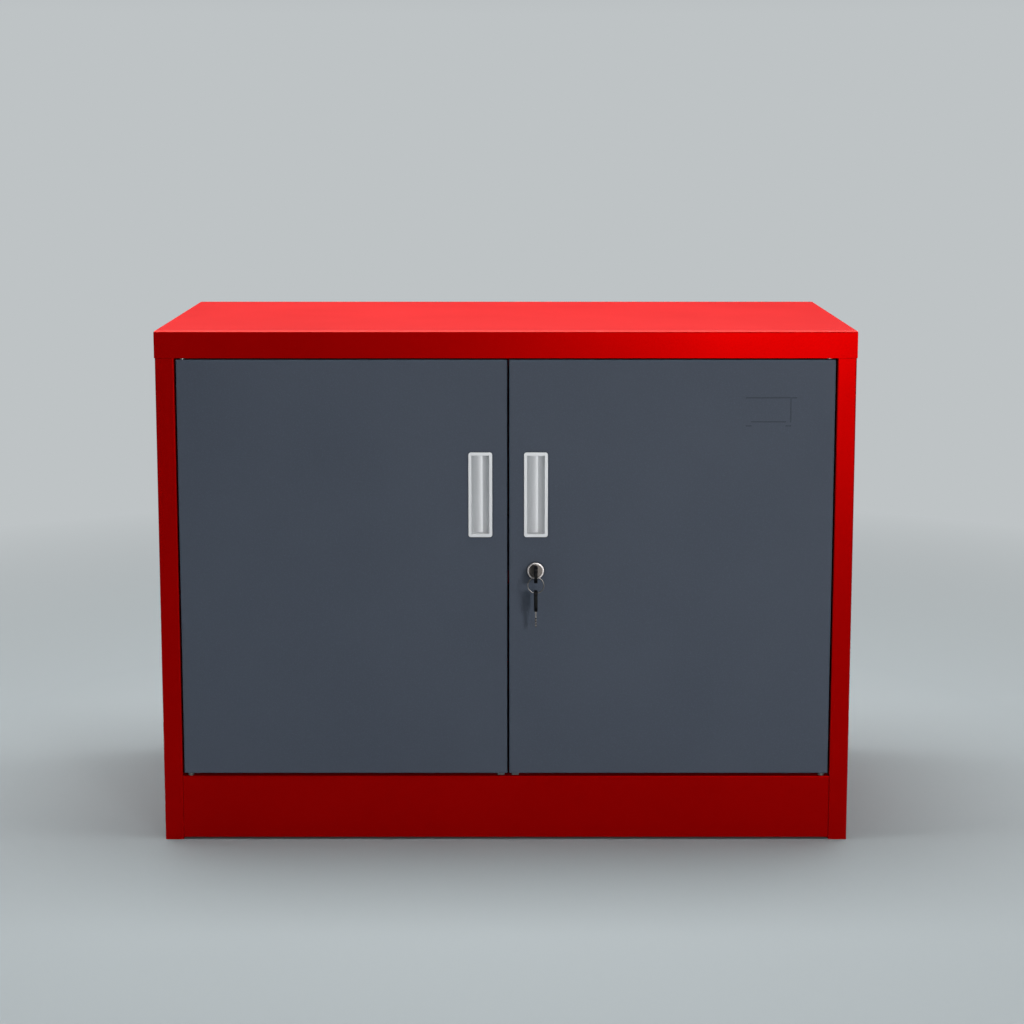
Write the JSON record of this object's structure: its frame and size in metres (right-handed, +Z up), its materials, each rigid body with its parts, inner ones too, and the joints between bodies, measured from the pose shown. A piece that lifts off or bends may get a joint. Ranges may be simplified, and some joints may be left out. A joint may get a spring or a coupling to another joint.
{
  "type": "two-door steel tool cabinet",
  "caption": "Low red steel cabinet with slate hinged doors, recessed handles and a keyed three-point lock, lift-out shelf inside.",
  "frame": {"origin": "centre of the carcass footprint, on the floor", "axes": "+X along the width to the right as seen from the front, +Y from the doors to the back, +Z up"},
  "size_m": [0.9, 0.4411, 0.675],
  "materials": {
    "carcass_enamel": "satin red stoving enamel on folded sheet steel",
    "door_powder_coat": "fine matt slate grey powder coat on folded sheet steel",
    "handle_plastic": "moulded ABS, silver grey, fine satin",
    "lock_chrome": "polished chrome plate",
    "zinc_steel": "bright zinc plate",
    "white_nylon": "natural nylon",
    "grey_nylon": "grey nylon",
    "buffer_rubber": "black rubber",
    "key_plastic": "black moulded key head",
    "key_nickel": "nickel plate"
  },
  "bodies": {
    "carcass": {"left_side_panel": "carcass_enamel", "right_side_panel": "carcass_enamel", "top_panel": "carcass_enamel", "top_stiffener": "carcass_enamel", "bottom_panel": "carcass_enamel", "back_panel": "carcass_enamel", "front_plinth": "carcass_enamel", "rear_base_rail": "carcass_enamel", "back_screws": "zinc_steel", "shelf_clips": "zinc_steel", "door_buffers": "buffer_rubber", "left_upper_bush": "white_nylon", "left_lower_bush": "white_nylon", "right_upper_bush": "white_nylon", "right_lower_bush": "white_nylon"},
    "shelf": {"shelf_panel": "carcass_enamel", "shelf_stiffener": "carcass_enamel"},
    "left_door": {"left_door_panel": "door_powder_coat", "left_door_stiffener": "door_powder_coat", "left_handle": "handle_plastic", "left_upper_pin": "zinc_steel", "left_lower_pin": "zinc_steel", "left_door_glide": "grey_nylon"},
    "right_door": {"right_door_panel": "door_powder_coat", "right_door_stiffener": "door_powder_coat", "right_handle": "handle_plastic", "right_upper_pin": "zinc_steel", "right_lower_pin": "zinc_steel", "right_door_glide": "grey_nylon", "lock_body": "lock_chrome", "lock_nut": "zinc_steel", "upper_rod_guide": "white_nylon", "lower_rod_guide": "white_nylon"},
    "lock_plug": {"lock_plug": "lock_chrome", "lock_cam": "zinc_steel", "cam_screw": "zinc_steel"},
    "upper_rod": {"upper_lock_rod": "zinc_steel"},
    "lower_rod": {"lower_lock_rod": "zinc_steel"},
    "key": {"key_head": "key_plastic", "key_blade": "key_nickel"},
    "key_ring": {"key_ring": "key_nickel"},
    "spare_key": {"spare_key_head": "key_plastic", "spare_key_blade": "key_nickel"}
  },
  "joints": [
    {"name": "left_door_hinge", "type": "hinge", "parent": "carcass", "child": "left_door", "pos_m": [-0.4146, -0.194, 0.3645], "axis": [0, 0, -1], "range_deg": [0, 110]},
    {"name": "right_door_hinge", "type": "hinge", "parent": "carcass", "child": "right_door", "pos_m": [0.4146, -0.194, 0.3645], "axis": [0, 0, 1], "range_deg": [0, 110]},
    {"name": "lock_turn", "type": "hinge", "parent": "right_door", "child": "lock_plug", "pos_m": [0.0385, -0.2, 0.362], "axis": [0, -1, 0], "range_deg": [0, 90]},
    {"name": "upper_rod_slide", "type": "slide", "parent": "right_door", "child": "upper_rod", "axis": [0, 0, 1], "range_m": [0, 0.015]},
    {"name": "lower_rod_slide", "type": "slide", "parent": "right_door", "child": "lower_rod", "axis": [0, 0, -1], "range_m": [0, 0.015]},
    {"name": "key_pull", "type": "slide", "parent": "lock_plug", "child": "key", "axis": [0, -1, 0], "range_m": [0, 0.03]},
    {"name": "key_ring_swing", "type": "hinge", "parent": "key", "child": "key_ring", "pos_m": [0.0385, -0.2303, 0.362], "axis": [-1, 0, 0], "range_deg": [-10, 80]},
    {"name": "spare_key_swing", "type": "hinge", "parent": "key_ring", "child": "spare_key", "pos_m": [0.0385, -0.2303, 0.3374], "axis": [-1, 0, 0], "range_deg": [-20, 45]},
    {"name": "shelf_lift", "type": "slide", "parent": "carcass", "child": "shelf", "axis": [0, 0, 1], "range_m": [0, 0.05]}
  ],
  "couplings": [
    {"joint": "upper_rod_slide", "follows": "lock_turn", "m_per_rad": 0.0095434},
    {"joint": "lower_rod_slide", "follows": "lock_turn", "m_per_rad": 0.0095434}
  ]
}
